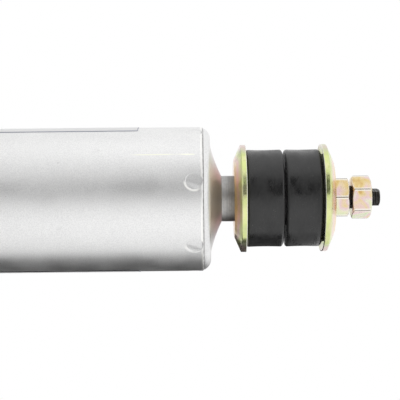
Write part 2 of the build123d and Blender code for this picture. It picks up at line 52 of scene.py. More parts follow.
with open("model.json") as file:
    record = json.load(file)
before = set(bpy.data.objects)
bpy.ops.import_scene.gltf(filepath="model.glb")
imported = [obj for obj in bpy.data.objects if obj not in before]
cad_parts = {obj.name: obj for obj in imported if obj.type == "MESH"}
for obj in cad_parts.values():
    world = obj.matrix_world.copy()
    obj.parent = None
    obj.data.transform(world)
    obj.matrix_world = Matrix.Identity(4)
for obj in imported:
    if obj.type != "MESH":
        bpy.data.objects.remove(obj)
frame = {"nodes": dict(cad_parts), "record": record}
cad_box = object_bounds()
log = logging.getLogger("damper")

MM = 0.001
Colour = tuple[float, float, float]
Stops = tuple[tuple[float, Colour], ...]
Value = bpy.types.NodeSocket | float
Setting = Value | Colour | Vector
Section = list[tuple[float, float]]
SHARP_ANGLE = math.radians(40)


class Body(Enum):
    """The moving bodies that the visible pieces ride on."""

    ROD = "rod_assembly"
    TUBE = "tube_assembly"


class Slot(Enum):
    """The material slots that the added pieces take their finish from."""

    PAINT = "silver_paint"
    ROD = "rod_steel"
    RUBBER = "rubber"


def around(angle: float, radius: float) -> Vector:
    """A point round the rod's axis.

    Args:
        angle: Degrees from the front, growing towards -X.
        radius: Distance from the axis in metres.

    Returns:
        The point at height zero.
    """
    turn = math.radians(angle)
    return Vector((-math.sin(turn) * radius, -math.cos(turn) * radius, 0))


def low_of(node: str) -> Vector:
    """The lowest corner of a CAD node."""
    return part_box(node)[0]


def high_of(node: str) -> Vector:
    """The highest corner of a CAD node."""
    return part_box(node)[1]


def add_object(name: str, data: bpy.types.ID) -> bpy.types.Object:
    """Put a new object in the scene.

    Args:
        name: The object's name.
        data: Its mesh, lamp or camera.

    Returns:
        The object.
    """
    thing = bpy.data.objects.new(name, data)
    bpy.context.scene.collection.objects.link(thing)
    return thing


def mesh_of(name: str, shape: bmesh.types.BMesh) -> bpy.types.Mesh:
    """Make a mesh of an edited shape, which is let go.

    Args:
        name: The mesh's name.
        shape: The shape.

    Returns:
        The mesh.
    """
    mesh = bpy.data.meshes.new(name)
    shape.to_mesh(mesh)
    shape.free()
    return mesh


def smooth_mesh_of(name: str, shape: bmesh.types.BMesh) -> bpy.types.Mesh:
    """Make a mesh with its faces outwards, smooth but for its sharp edges.

    Args:
        name: The mesh's name.
        shape: The shape.

    Returns:
        The mesh.
    """
    bmesh.ops.recalc_face_normals(shape, faces=shape.faces[:])
    mesh = mesh_of(name, shape)
    mesh.shade_smooth()
    mesh.set_sharp_from_angle(angle=SHARP_ANGLE)
    return mesh


class Wiring:
    """Short calls that the node trees of the finishes and of the rules share."""

    tree: bpy.types.NodeTree

    def feed(self, socket: bpy.types.NodeSocket, value: Setting) -> None:
        """Give a socket a number, a colour, a vector or another node's output.

        Args:
            socket: The input to set.
            value: What it gets.
        """
        if isinstance(value, bpy.types.NodeSocket):
            self.tree.links.new(value, socket)
        elif isinstance(value, tuple) and len(value) == 3 and socket.type == "RGBA":
            socket.default_value = (*value, 1)
        else:
            socket.default_value = value

    def calc(self, operation: str, first: Value, second: Value = 0.0) -> Value:
        """One step of arithmetic.

        Args:
            operation: The Math node's operation.
            first: First number.
            second: Second number.

        Returns:
            The result's socket.
        """
        node = self.tree.nodes.new("ShaderNodeMath")
        node.operation = operation
        self.feed(node.inputs[0], first)
        self.feed(node.inputs[1], second)
        return node.outputs[0]


class Shader(Wiring):
    """A material's node tree, with short calls for the nodes that the finishes use."""

    def __init__(self, name: str) -> None:
        """Start a material with a principled surface that reads Object coordinates.

        Args:
            name: The material's name.
        """
        self.material = bpy.data.materials.new(name)
        self.material.use_nodes = True
        self.tree = self.material.node_tree
        self.tree.nodes.clear()
        self.surface = self.tree.nodes.new("ShaderNodeBsdfPrincipled")
        output = self.tree.nodes.new("ShaderNodeOutputMaterial")
        self.tree.links.new(self.surface.outputs["BSDF"], output.inputs["Surface"])
        self.place = self.tree.nodes.new("ShaderNodeTexCoord").outputs["Object"]
        parts = self.tree.nodes.new("ShaderNodeSeparateXYZ")
        self.tree.links.new(self.place, parts.inputs[0])
        self.x, self.y, self.z = parts.outputs[0], parts.outputs[1], parts.outputs[2]

    def noise(
        self,
        grain: float,
        detail: float = 2.0,
        stretch: Colour = (1, 1, 1),
        warp: float = 0.0,
        shift: Colour = (0, 0, 0),
    ) -> Value:
        """Soft random variation over the piece.

        Args:
            grain: Size of one blotch in metres.
            detail: How many finer layers it holds.
            stretch: How much longer the blotches are along X, Y and Z.
            warp: How much the pattern is swirled.
            shift: How far the pattern is moved, in metres.

        Returns:
            A socket from 0 to 1.
        """
        mapping = self.tree.nodes.new("ShaderNodeMapping")
        self.feed(mapping.inputs["Vector"], self.place)
        mapping.inputs["Location"].default_value = shift
        mapping.inputs["Scale"].default_value = [1 / long for long in stretch]
        node = self.tree.nodes.new("ShaderNodeTexNoise")
        self.feed(node.inputs["Vector"], mapping.outputs[0])
        node.inputs["Scale"].default_value = 1 / grain
        node.inputs["Detail"].default_value = detail
        node.inputs["Distortion"].default_value = warp
        return node.outputs[0]

    def remap(self, value: Value, low: float, high: float, to_low: float, to_high: float) -> Value:
        """Stretch a range of numbers smoothly to another range, and hold it beyond.

        Args:
            value: The number.
            low: Start of the range it is taken from.
            high: End of the range it is taken from.
            to_low: What the start becomes.
            to_high: What the end becomes.

        Returns:
            The result's socket.
        """
        node = self.tree.nodes.new("ShaderNodeMapRange")
        node.interpolation_type = "SMOOTHSTEP"
        self.feed(node.inputs[0], value)
        for place, number in enumerate((low, high, to_low, to_high), start=1):
            node.inputs[place].default_value = number
        return node.outputs[0]

    def ramp(self, value: Value, stops: Stops) -> Value:
        """Colours along a number.

        Args:
            value: The number, from 0 to 1.
            stops: Places and their colours.

        Returns:
            The colour's socket.
        """
        node = self.tree.nodes.new("ShaderNodeValToRGB")
        self.feed(node.inputs[0], value)
        elements = node.color_ramp.elements
        while len(elements) < len(stops):
            elements.new(1.0)
        for element, (place, colour) in zip(elements, stops):
            element.position = place
            element.color = (*colour, 1)
        return node.outputs[0]

    def mix(self, share: Value, first: Value | Colour, second: Value | Colour) -> Value:
        """Blend two colours.

        Args:
            share: How much of the second shows.
            first: First colour.
            second: Second colour.

        Returns:
            The colour's socket.
        """
        node = self.tree.nodes.new("ShaderNodeMix")
        node.data_type = "RGBA"
        self.feed(node.inputs["Factor"], share)
        self.feed(node.inputs[6], first)
        self.feed(node.inputs[7], second)
        return node.outputs[2]

    def blend(self, share: Value, first: Value, second: Value) -> Value:
        """Blend two numbers.

        Args:
            share: How much of the second shows.
            first: First number.
            second: Second number.

        Returns:
            The number's socket.
        """
        node = self.tree.nodes.new("ShaderNodeMix")
        self.feed(node.inputs["Factor"], share)
        self.feed(node.inputs[2], first)
        self.feed(node.inputs[3], second)
        return node.outputs[0]

    def above(self, height: float, blur: float) -> Value:
        """A mask that is 1 above a height and 0 below it."""
        return self.remap(self.z, height - blur, height + blur, 0, 1)

    def turn(self) -> Value:
        """Degrees round the rod from the front, growing towards -X, from -180 to 180."""
        side = self.calc("MULTIPLY", self.x, -1.0)
        front = self.calc("MULTIPLY", self.y, -1.0)
        return self.calc("MULTIPLY", self.calc("ARCTAN2", side, front), math.degrees(1))

    def distance(self, first: Value, second: Value) -> Value:
        """How far two steps at right angles lead."""
        squares = self.calc("ADD", self.calc("POWER", first, 2.0), self.calc("POWER", second, 2.0))
        return self.calc("SQRT", squares)

    def radius(self) -> Value:
        """Distance from the rod's axis."""
        return self.distance(self.x, self.y)

    def line(self, value: Value, centre: float, half_width: float) -> Value:
        """A mask of 1 on a narrow line.

        Args:
            value: The number measured across the line.
            centre: Where the line is.
            half_width: Half of its width.

        Returns:
            The mask's socket.
        """
        away = self.calc("ABSOLUTE", self.calc("SUBTRACT", value, centre))
        return self.remap(away, half_width * 0.4, half_width, 1, 0)

    def soft_edges(self, radius: float) -> tuple[Value, Value]:
        """Sharp edges, seen as if they were rounded.

        Args:
            radius: The radius of the rounding in metres.

        Returns:
            The normal's socket, and how level the surface is, which is 1 away from edges.
        """
        bevel = self.tree.nodes.new("ShaderNodeBevel")
        bevel.samples = 8
        bevel.inputs["Radius"].default_value = radius
        shape = self.tree.nodes.new("ShaderNodeNewGeometry")
        likeness = self.tree.nodes.new("ShaderNodeVectorMath")
        likeness.operation = "DOT_PRODUCT"
        self.tree.links.new(bevel.outputs["Normal"], likeness.inputs[0])
        self.tree.links.new(shape.outputs["Normal"], likeness.inputs[1])
        return bevel.outputs["Normal"], likeness.outputs["Value"]

    def bump(self, height: Value, depth: float, over: Value | None = None) -> Value:
        """Relief of the surface.

        Args:
            height: The relief from 0 to 1.
            depth: Its full depth in metres.
            over: A coarser relief that it lies on.

        Returns:
            The normal's socket.
        """
        node = self.tree.nodes.new("ShaderNodeBump")
        node.inputs["Strength"].default_value = 1.0
        node.inputs["Distance"].default_value = depth
        self.feed(node.inputs["Height"], height)
        if over is not None:
            self.feed(node.inputs["Normal"], over)
        return node.outputs[0]

    def finish(
        self, colour: Value | Colour, roughness: Value, metal: Value, normal: Value | None = None
    ) -> bpy.types.Material:
        """Connect the results to the surface.

        Args:
            colour: Base colour.
            roughness: Roughness.
            metal: How metallic it is.
            normal: The relief.

        Returns:
            The material.
        """
        self.feed(self.surface.inputs["Base Color"], colour)
        self.feed(self.surface.inputs["Roughness"], roughness)
        self.feed(self.surface.inputs["Metallic"], metal)
        if normal is not None:
            self.feed(self.surface.inputs["Normal"], normal)
        return self.material


@dataclass(frozen=True)
class StakeMarks:
    """The round marks that stake the cover to its cap, and how their lower edges slope."""

    height: float
    count: int = 7
    first_turn: float = 13.5
    radius: float = 4.0 * MM
    slope_width: float = 1.1 * MM
    depth: float = 0.38 * MM
    cover_radius: float = 32.5 * MM
    sloped_side: tuple[float, float] = (-0.9, -0.4)
    full_press_turn: float = 25.0
    light_press_turn: float = 50.0
    light_press: float = 0.22

    def masks(self, shader: Shader) -> tuple[Value, Value, Value]:
        """Masks for the marks.

        Args:
            shader: The material's node tree.

        Returns:
            The relief of the sloped edge, a mask of that edge and a mask of the whole mark.
        """
        step = 360 / self.count
        turn = shader.calc("SUBTRACT", shader.turn(), self.first_turn - step / 2)
        turn = shader.calc("SUBTRACT", shader.calc("FLOORED_MODULO", turn, step), step / 2)
        across = shader.calc("MULTIPLY", turn, math.radians(1) * self.cover_radius)
        along = shader.calc("SUBTRACT", shader.z, self.height)
        away = shader.distance(across, along)
        toward = shader.calc(
            "ADD",
            shader.calc("MULTIPLY", across, self.sloped_side[0]),
            shader.calc("MULTIPLY", along, self.sloped_side[1]),
        )
        aside = shader.calc("ABSOLUTE", shader.turn())
        turns = (self.full_press_turn, self.light_press_turn)
        pressed = shader.remap(aside, *turns, 1.0, self.light_press)
        side = shader.remap(toward, self.radius * 0.1, self.radius * 0.75, 0.0, 1.0)
        side = shader.calc("MULTIPLY", side, pressed)
        low, high = self.radius - self.slope_width / 2, self.radius + self.slope_width / 2
        slope = shader.calc("MULTIPLY", shader.remap(away, low, high, -1.0, 0.0), side)
        # This edge mask is used for a painted highlight along the marks' lower edges.
        edge = shader.calc("MULTIPLY", shader.line(away, self.radius, self.slope_width * 0.7), side)
        return slope, edge, shader.remap(away, low, self.radius, 1.0, 0.0)


@dataclass(frozen=True)
class SilverPaint:
    """Silver paint with fine flake, orange peel and a few scuffs; some pieces also get painted
    highlights, painted shade and a painted reflection.
    """

    name: str
    stakes: StakeMarks | None = None
    end_height: float = 0.0
    seam_highlight_angle: float = 36.3
    shade_and_reflection_heights: tuple[float, float] | None = None
    bright: Colour = (0.95, 0.95, 0.945)
    dull: Colour = (0.77, 0.77, 0.77)
    scuff_and_shade: Colour = (0.45, 0.44, 0.43)
    white: Colour = (1.0, 0.995, 0.97)
    seam_highlight_colour: Colour = (1.0, 1.0, 0.88)
    stain_and_shade: Colour = (0.33, 0.32, 0.37)
    painted_reflection_pink: Colour = (0.74, 0.54, 0.62)
    flake: float = 0.45 * MM
    flake_depth: float = 0.012 * MM
    peel: float = 1.7 * MM
    peel_depth: float = 0.016 * MM
    patch: float = 14 * MM
    roughness: float = 0.42
    metal: float = 0.97
    fold_drop: float = 0.95 * MM
    fold_half_width: float = 0.55 * MM
    joint_drop: float = 0.25 * MM
    joint_half_width: float = 0.45 * MM
    seam_highlight_half_turn: float = 0.8
    seam_highlight_drop: tuple[float, float] = (30 * MM, 4 * MM)
    seam_highlight_blur: tuple[float, float] = (3 * MM, 1 * MM)
    gap_size: float = 5 * MM
    joint_shade_grain: float = 1.8 * MM
    speck_size: float = 1.1 * MM
    rub_size: float = 5 * MM
    worn_roughness: float = 0.55
    stain_and_shade_share: float = 0.55

    def grain(self, shader: Shader) -> tuple[Value, Value, Value]:
        """The paint's own colour, roughness and relief.

        Args:
            shader: The material's node tree.

        Returns:
            The sockets of the three.
        """
        flake = shader.noise(self.flake, 3.0)
        cloud = shader.noise(self.patch, 3.0)
        sparkle = shader.remap(flake, 0.3, 0.7, 0.0, 0.72)
        tone = shader.calc("ADD", sparkle, shader.remap(cloud, 0.3, 0.7, 0.0, 0.28))
        roughness = shader.remap(cloud, 0.2, 0.8, self.roughness - 0.04, self.roughness + 0.05)
        relief = shader.bump(shader.noise(self.peel, 1.0), self.peel_depth)
        relief = shader.bump(flake, self.flake_depth, relief)
        return shader.mix(tone, self.dull, self.bright), roughness, relief

    def end_marks(self, shader: Shader, colour: Value, relief: Value) -> tuple[Value, Value]:
        """The stake marks, painted highlights on their lower edges and on the folded edge, painted
        shade in the joint, and a painted highlight along a seam.

        Args:
            shader: The material's node tree.
            colour: The colour under them.
            relief: The relief under them.

        Returns:
            The colour's socket and the relief's socket.
        """
        slope, edge, mark = self.stakes.masks(shader)
        # Painted highlight: white lines along the start of the folded end's rounding and along the
        # stake marks' lower edges, varied in strength by noise.
        fold_highlight = shader.line(shader.z, self.end_height - self.fold_drop, self.fold_half_width)
        painted_highlight = shader.remap(shader.noise(self.gap_size), 0.3, 0.55, 0.55, 1.0)
        fold_highlight = shader.calc("MULTIPLY", fold_highlight, painted_highlight)
        fold_highlight = shader.calc("MULTIPLY", fold_highlight, shader.calc("SUBTRACT", 1.0, mark))
        bright = shader.calc("MAXIMUM", fold_highlight, edge)
        colour = shader.mix(bright, colour, self.white)
        # Painted shade: a dark line in the groove at the joint, broken up by noise, in the same
        # colour as the real scuffs.
        joint = shader.line(shader.z, self.end_height - self.joint_drop, self.joint_half_width)
        joint_shade_breakup = shader.remap(shader.noise(self.joint_shade_grain, 3.0), 0.35, 0.65, 0.35, 0.85)
        colour = shader.mix(shader.calc("MULTIPLY", joint, joint_shade_breakup), colour, self.scuff_and_shade)
        # Painted highlight: a broken bright line along a fine seam down the cover, below its end.
        seam_highlight = shader.line(shader.turn(), self.seam_highlight_angle, self.seam_highlight_half_turn)
        begun, ended = (
            shader.above(self.end_height - drop, blur)
            for drop, blur in zip(self.seam_highlight_drop, self.seam_highlight_blur)
        )
        reach = shader.calc("SUBTRACT", begun, ended)
        broken = shader.remap(shader.noise(self.gap_size, 2.0, (1, 1, 4)), 0.42, 0.55, 0.15, 1.0)
        seam_highlight = shader.calc("MULTIPLY", shader.calc("MULTIPLY", seam_highlight, reach), broken)
        colour = shader.mix(seam_highlight, colour, self.seam_highlight_colour)
        return colour, shader.bump(slope, self.stakes.depth, relief)

    def build(self) -> bpy.types.Material:
        """Make the material."""
        shader = Shader(self.name)
        colour, roughness, relief = self.grain(shader)
        speck = shader.remap(shader.noise(self.speck_size, 2.0), 0.76, 0.82, 0.0, 0.6)
        rub = shader.remap(shader.noise(self.rub_size, 4.0, (1, 1, 4)), 0.68, 0.80, 0.0, 0.30)
        wear = shader.calc("MAXIMUM", speck, rub)
        if self.stakes is not None:
            colour, relief = self.end_marks(shader, colour, relief)
        # Painted shade and painted reflection: the paint darkens towards the collar and turns pink
        # on the sides facing +X and -X, where the washer is reflected.
        if self.shade_and_reflection_heights is not None:
            stain_and_shade = shader.remap(shader.z, *self.shade_and_reflection_heights, 0.0, self.stain_and_shade_share)
            lean = shader.calc("ABSOLUTE", shader.calc("DIVIDE", shader.x, shader.radius()))
            shade_and_reflection_tint = shader.mix(shader.remap(lean, 0.40, 0.75, 0.0, 1.0), self.stain_and_shade, self.painted_reflection_pink)
            colour = shader.mix(stain_and_shade, colour, shade_and_reflection_tint)
        colour = shader.mix(wear, colour, self.scuff_and_shade)
        roughness = shader.blend(wear, roughness, self.worn_roughness)
        return shader.finish(colour, roughness, self.metal, relief)


@dataclass(frozen=True)
class YellowZinc:
    """Yellow passivated zinc whose film shifts from gold through pink to green."""

    name: str
    stops: Stops
    inner: float
    outer: float
    inner_hue: float
    outer_hue: float
    painted_side_hue: float
    painted_lean_hue: float
    swirl: float
    grain: float
    detail: float
    shift: Colour = (0, 0, 0)
    edge: float = 0.7 * MM
    stain_and_shade: Colour = (0.36, 0.30, 0.12)
    stain_size: float = 2.2 * MM
    stain_and_shade_share: float = 0.25
    painted_highlight: Colour = (0.95, 0.93, 0.86)
    highlight_inset: float = 0.26 * MM
    highlight_half_width: float = 0.24 * MM
    highlight_share: float = 0.75
    painted_corner_dark: Colour = (0.10, 0.08, 0.06)
    corner_dark_inset: tuple[float, float] = (0.13 * MM, 0.06 * MM)
    corner: float | None = None
    metal: float = 0.90
    roughness: float = 0.24
    haze: float = 2.4 * MM
    ripple: float = 2.6 * MM
    ripple_depth: float = 0.03 * MM
    crystal: float = 0.35 * MM
    crystal_depth: float = 0.006 * MM

    def hue(self, shader: Shader) -> Value:
        """Where the film's colour lies on the ramp.

        Args:
            shader: The material's node tree.

        Returns:
            A socket that runs from gold at 0 to the palest film at 1.
        """
        radius = shader.radius()
        band = shader.remap(radius, self.inner, self.outer, self.inner_hue, self.outer_hue)
        lean = shader.calc("DIVIDE", shader.x, radius)
        # Painted reflection: faces that look towards +X and -X move along the ramp, and the lean
        # makes the film paler towards +X and more golden towards -X.
        side = shader.remap(shader.calc("ABSOLUTE", lean), 0.72, 0.95, 0.0, self.painted_side_hue)
        band = shader.calc("ADD", band, side)
        band = shader.calc("ADD", band, shader.calc("MULTIPLY", lean, self.painted_lean_hue))
        cloud = shader.noise(self.grain, self.detail, (1, 1, 0.7), 0.6, self.shift)
        cloud = shader.calc("MULTIPLY", shader.calc("SUBTRACT", cloud, 0.5), self.swirl)
        return shader.calc("ADD", band, cloud)

    def build(self) -> bpy.types.Material:
        """Make the material."""
        shader = Shader(self.name)
        rounded, level = shader.soft_edges(self.edge)
        colour = shader.ramp(self.hue(shader), self.stops)
        blotch = shader.remap(shader.noise(self.stain_size, 5.0), 0.56, 0.74, 0.0, self.stain_and_shade_share)
        colour = shader.mix(blotch, colour, self.stain_and_shade)
        # Painted highlight: a pale colour on edges, where the rounded normal turns away from the
        # face.
        colour = shader.mix(shader.remap(level, 0.93, 0.995, 0.9, 0.0), colour, self.painted_highlight)
        if self.corner is not None:
            radius = shader.radius()
            # Painted highlight just inside each hex corner, and a painted dark reflection on the
            # corner line itself.
            band = shader.line(radius, self.corner - self.highlight_inset, self.highlight_half_width)
            colour = shader.mix(shader.calc("MULTIPLY", band, self.highlight_share), colour, self.painted_highlight)
            start, full = (self.corner - inset for inset in self.corner_dark_inset)
            painted_corner_dark = shader.remap(radius, start, full, 0.0, 0.9)
            colour = shader.mix(painted_corner_dark, colour, self.painted_corner_dark)
        haze = shader.noise(self.haze, 3.0)
        roughness = shader.remap(haze, 0.3, 0.7, self.roughness - 0.05, self.roughness + 0.10)
        relief = shader.bump(shader.noise(self.ripple, 1.0), self.ripple_depth, rounded)
        relief = shader.bump(shader.noise(self.crystal, 4.0), self.crystal_depth, relief)
        return shader.finish(colour, roughness, self.metal, relief)


@dataclass(frozen=True)
class MouldedRubber:
    """Black moulded rubber with a dusty, mottled skin."""

    name: str
    dark: Colour = (0.006, 0.006, 0.0065)
    dusty: Colour = (0.013, 0.0127, 0.0124)
    lint: Colour = (0.30, 0.29, 0.28)
    fleck: float = 0.55 * MM
    mottle: float = 0.8 * MM
    mottle_depth: float = 0.05 * MM
    bloom: float = 6 * MM
    bloom_depth: float = 0.10 * MM
    roughness: float = 0.35
    gloss: float = 0.62
    fuzz: float = 0.06

    def build(self) -> bpy.types.Material:
        """Make the material."""
        shader = Shader(self.name)
        mottle = shader.noise(self.mottle, 5.0, (2.6, 2.6, 1))
        bloom = shader.noise(self.bloom, 4.0, (1.6, 1.6, 1))
        patch = shader.remap(bloom, 0.25, 0.7, 0.35, 1.0)
        dust = shader.calc("MULTIPLY", shader.remap(mottle, 0.35, 0.70, 0.0, 1.0), patch)
        colour = shader.mix(dust, self.dark, self.dusty)
        fleck = shader.remap(shader.noise(self.fleck, 1.0), 0.76, 0.82, 0.0, 0.6)
        colour = shader.mix(fleck, colour, self.lint)
        roughness = shader.remap(bloom, 0.3, 0.7, self.roughness - 0.12, self.roughness + 0.10)
        relief = shader.bump(bloom, self.bloom_depth)
        relief = shader.bump(mottle, self.mottle_depth, relief)
        shader.surface.inputs["Specular IOR Level"].default_value = self.gloss
        shader.surface.inputs["Sheen Weight"].default_value = self.fuzz
        return shader.finish(colour, roughness, 0.0, relief)


@dataclass(frozen=True)
class RodSteel:
    """Polished rod, turned collar above it and a blackened stem at the top."""

    name: str
    collar_low: float
    stem_low: float
    thread_low: float
    thread_pitch: float = 1.25 * MM
    thread_depth: float = 0.9 * MM
    ring_depth: float = 0.012 * MM
    lapped_grain: float = 0.25 * MM
    turned_grain: float = 0.42 * MM
    mottle: float = 1.5 * MM
    shaded_length: float = 5 * MM
    step_blur: float = 0.1 * MM
    chrome_roughness: float = 0.12
    turned_roughness: float = 0.50
    blackened_roughness: float = 0.42
    blackened_metal: float = 0.35
    chrome: tuple[Colour, Colour] = ((0.70, 0.70, 0.71), (0.80, 0.80, 0.81))
    turned: tuple[Colour, Colour] = ((0.42, 0.42, 0.42), (0.54, 0.535, 0.52))
    handled: Colour = (0.26, 0.255, 0.25)
    shaded: Colour = (0.16, 0.155, 0.15)
    blackened: tuple[Colour, Colour] = ((0.012, 0.012, 0.012), (0.05, 0.048, 0.045))

    def build(self) -> bpy.types.Material:
        """Make the material."""
        shader = Shader(self.name)
        lapped = shader.noise(self.lapped_grain, 2.0, (14, 14, 1))
        rings = shader.noise(self.turned_grain, 4.0, (30, 30, 1))
        mottle = shader.noise(self.mottle, 4.0)
        chrome = shader.mix(shader.remap(lapped, 0.3, 0.7, 0, 1), *self.chrome)
        turned = shader.mix(shader.remap(rings, 0.32, 0.68, 0, 1), *self.turned)
        turned = shader.mix(shader.remap(mottle, 0.45, 0.75, 0, 0.4), turned, self.handled)
        shade = shader.remap(shader.z, self.stem_low - self.shaded_length, self.stem_low, 0.0, 0.6)
        turned = shader.mix(shade, turned, self.shaded)
        black = shader.mix(shader.remap(mottle, 0.35, 0.7, 0, 1), *self.blackened)
        on_collar = shader.above(self.collar_low, self.step_blur)
        on_stem = shader.above(self.stem_low, self.step_blur)
        on_thread = shader.above(self.thread_low, self.step_blur)
        colour = shader.mix(on_stem, shader.mix(on_collar, chrome, turned), black)
        roughness = shader.blend(on_collar, self.chrome_roughness, self.turned_roughness)
        roughness = shader.blend(on_stem, roughness, self.blackened_roughness)
        metal = shader.blend(on_stem, 1.0, self.blackened_metal)
        climb = shader.calc("DIVIDE", shader.z, self.thread_pitch)
        lap = shader.calc("DIVIDE", shader.turn(), 360.0)
        flank = shader.calc("PINGPONG", shader.calc("ADD", climb, lap), 0.5)
        groove = shader.calc("MULTIPLY", flank, on_thread)
        relief = shader.bump(shader.calc("MULTIPLY", rings, on_collar), self.ring_depth)
        relief = shader.bump(groove, self.thread_depth, relief)
        return shader.finish(colour, roughness, metal, relief)


@dataclass(frozen=True)
class PlainMetal:
    """A machined, drawn, rolled or sintered metal with grain and light tarnish."""

    name: str
    dark: Colour
    light: Colour
    roughness: float
    metal: float = 1.0
    grain: float = 0.5 * MM
    stretch: Colour = (8, 8, 1)
    depth: float = 0.012 * MM
    cloud: float = 9 * MM
    tarnish_share: float = 0.35
    tarnish_tone: float = 0.45

    def build(self) -> bpy.types.Material:
        """Make the material."""
        shader = Shader(self.name)
        grain = shader.noise(self.grain, 3.0, self.stretch)
        cloud = shader.noise(self.cloud, 4.0)
        colour = shader.mix(shader.remap(grain, 0.3, 0.7, 0, 1), self.dark, self.light)
        tarnish = shader.remap(cloud, 0.55, 0.75, 0.0, self.tarnish_share)
        colour = shader.mix(tarnish, colour, tuple(self.tarnish_tone * part for part in self.dark))
        roughness = shader.remap(cloud, 0.3, 0.7, self.roughness - 0.05, self.roughness + 0.10)
        return shader.finish(colour, roughness, self.metal, shader.bump(grain, self.depth))


@dataclass(frozen=True)
class BareFilm:
    """White self-adhesive film, with painted shadow as a fine line along its front edge and both
    ends, and a dark stripe along its back edge.
    """

    name: str
    low: float
    high: float
    front_angle: float
    back_angle: float
    paper: tuple[Colour, Colour] = ((0.92, 0.92, 0.93), (0.96, 0.96, 0.96))
    line_width: float = 0.45 * MM
    line: Colour = (0.34, 0.36, 0.46)
    border: Colour = (0.02, 0.02, 0.025)
    border_share: float = 4.5
    radius: float = 32.5 * MM
    cloud: float = 6 * MM
    grain: float = 1.2 * MM
    grain_depth: float = 0.008 * MM

    def build(self) -> bpy.types.Material:
        """Make the material."""
        shader = Shader(self.name)
        cloud = shader.noise(self.cloud, 3.0)
        colour = shader.mix(shader.remap(cloud, 0.3, 0.7, 0, 1), *self.paper)
        half_turn = math.degrees(self.line_width / self.radius)
        turn = shader.turn()
        border = shader.line(turn, self.back_angle, half_turn * self.border_share)
        colour = shader.mix(border, colour, self.border)
        # Painted shadow: a fine blue-grey line along the film's front edge and both ends.
        front_edge_shadow = shader.line(turn, self.front_angle, half_turn)
        ends = shader.calc(
            "MAXIMUM",
            shader.line(shader.z, self.high, self.line_width),
            shader.line(shader.z, self.low, self.line_width),
        )
        colour = shader.mix(shader.calc("MAXIMUM", front_edge_shadow, ends), colour, self.line)
        roughness = shader.remap(cloud, 0.3, 0.7, 0.30, 0.40)
        relief = shader.bump(shader.noise(self.grain, 2.0), self.grain_depth)
        return shader.finish(colour, roughness, 0.0, relief)


class Finishes:
    """Every finish of the damper, made once and shared."""

    nut_flats: float = 17.0 * MM
    stake_inset: float = 4.2 * MM
    neck_shade_and_reflection: tuple[float, float] = (-1.0 * MM, 2.5 * MM)
    washer_cone_width: float = 7.6 * MM

    def __init__(self) -> None:
        """Build the finishes from the frame's heights."""
        cover_top = high_of("dust_cover").z
        collar_low = low_of("cap_weld").z
        shoulder = low_of("lower_cup_washer").z
        thread_low = low_of("thin_nut").z
        stakes = StakeMarks(cover_top - self.stake_inset)
        self.cover = SilverPaint("silver_cover", stakes, end_height=cover_top).build()
        # The cap's paint gets painted shade and a painted reflection near the collar.
        low, high = self.neck_shade_and_reflection
        neck_heights = (collar_low + low, collar_low + high)
        self.cap = SilverPaint("silver_cap", shade_and_reflection_heights=neck_heights, flake=0.5 * MM).build()
        self.tube = SilverPaint("silver_tube").build()
        self.weld = SilverPaint("silver_over_weld", dull=(0.60, 0.60, 0.60)).build()
        washer_radius = high_of("lower_cup_washer").x
        self.washer = YellowZinc(
            "yellow_zinc_washer",
            stops=(
                (0.04, (0.80, 0.54, 0.22)),
                (0.20, (0.94, 0.72, 0.38)),
                (0.34, (0.96, 0.76, 0.56)),
                (0.46, (0.95, 0.68, 0.64)),
                (0.58, (0.85, 0.78, 0.52)),
                (0.74, (0.70, 0.78, 0.32)),
                (0.88, (0.68, 0.70, 0.46)),
                (0.98, (0.74, 0.58, 0.54)),
            ),
            inner=washer_radius - self.washer_cone_width,
            outer=washer_radius - 0.1 * MM,
            inner_hue=0.14,
            outer_hue=0.70,
            painted_side_hue=0.26,
            painted_lean_hue=0.0,
            swirl=0.55,
            grain=11 * MM,
            detail=3.0,
            metal=0.84,
            roughness=0.17,
        ).build()
        self.nut = YellowZinc(
            "yellow_zinc_nut",
            stops=(
                (0.04, (0.66, 0.44, 0.17)),
                (0.20, (0.80, 0.62, 0.28)),
                (0.34, (0.84, 0.68, 0.46)),
                (0.46, (0.84, 0.62, 0.62)),
                (0.60, (0.84, 0.72, 0.68)),
                (0.72, (0.84, 0.84, 0.58)),
                (0.88, (0.66, 0.78, 0.50)),
                (0.98, (0.80, 0.78, 0.64)),
            ),
            inner=0.0,
            outer=washer_radius,
            inner_hue=0.44,
            outer_hue=0.44,
            painted_side_hue=0.0,
            painted_lean_hue=0.26,
            swirl=1.9,
            grain=9 * MM,
            detail=1.5,
            stain_and_shade_share=0.15,
            corner=self.nut_flats / math.sqrt(3),
        ).build()
        self.rubber = MouldedRubber("moulded_rubber").build()
        self.rod = RodSteel("rod_and_stem", collar_low, shoulder, thread_low).build()
        self.thread = PlainMetal(
            "blackened_thread",
            dark=(0.012, 0.012, 0.012),
            light=(0.05, 0.05, 0.05),
            roughness=0.42,
            metal=0.35,
        ).build()
        self.sintered = PlainMetal(
            "sintered_grain",
            dark=(0.24, 0.24, 0.25),
            light=(0.38, 0.38, 0.39),
            roughness=0.55,
            grain=0.3 * MM,
            stretch=(1, 1, 1),
        ).build()
        self.spring = PlainMetal(
            "rolled_spring_strip", dark=(0.40, 0.41, 0.44), light=(0.58, 0.59, 0.62), roughness=0.26
        ).build()
        self.bronze = PlainMetal(
            "bearing_bronze", dark=(0.52, 0.34, 0.17), light=(0.72, 0.52, 0.29), roughness=0.34
        ).build()
        self.slide = PlainMetal(
            "sliding_plastic",
            dark=(0.10, 0.13, 0.20),
            light=(0.18, 0.22, 0.32),
            roughness=0.45,
            metal=0.0,
            stretch=(1, 1, 1),
        ).build()
        self.steel = PlainMetal(
            "machined_steel", dark=(0.44, 0.45, 0.46), light=(0.62, 0.62, 0.63), roughness=0.32
        ).build()


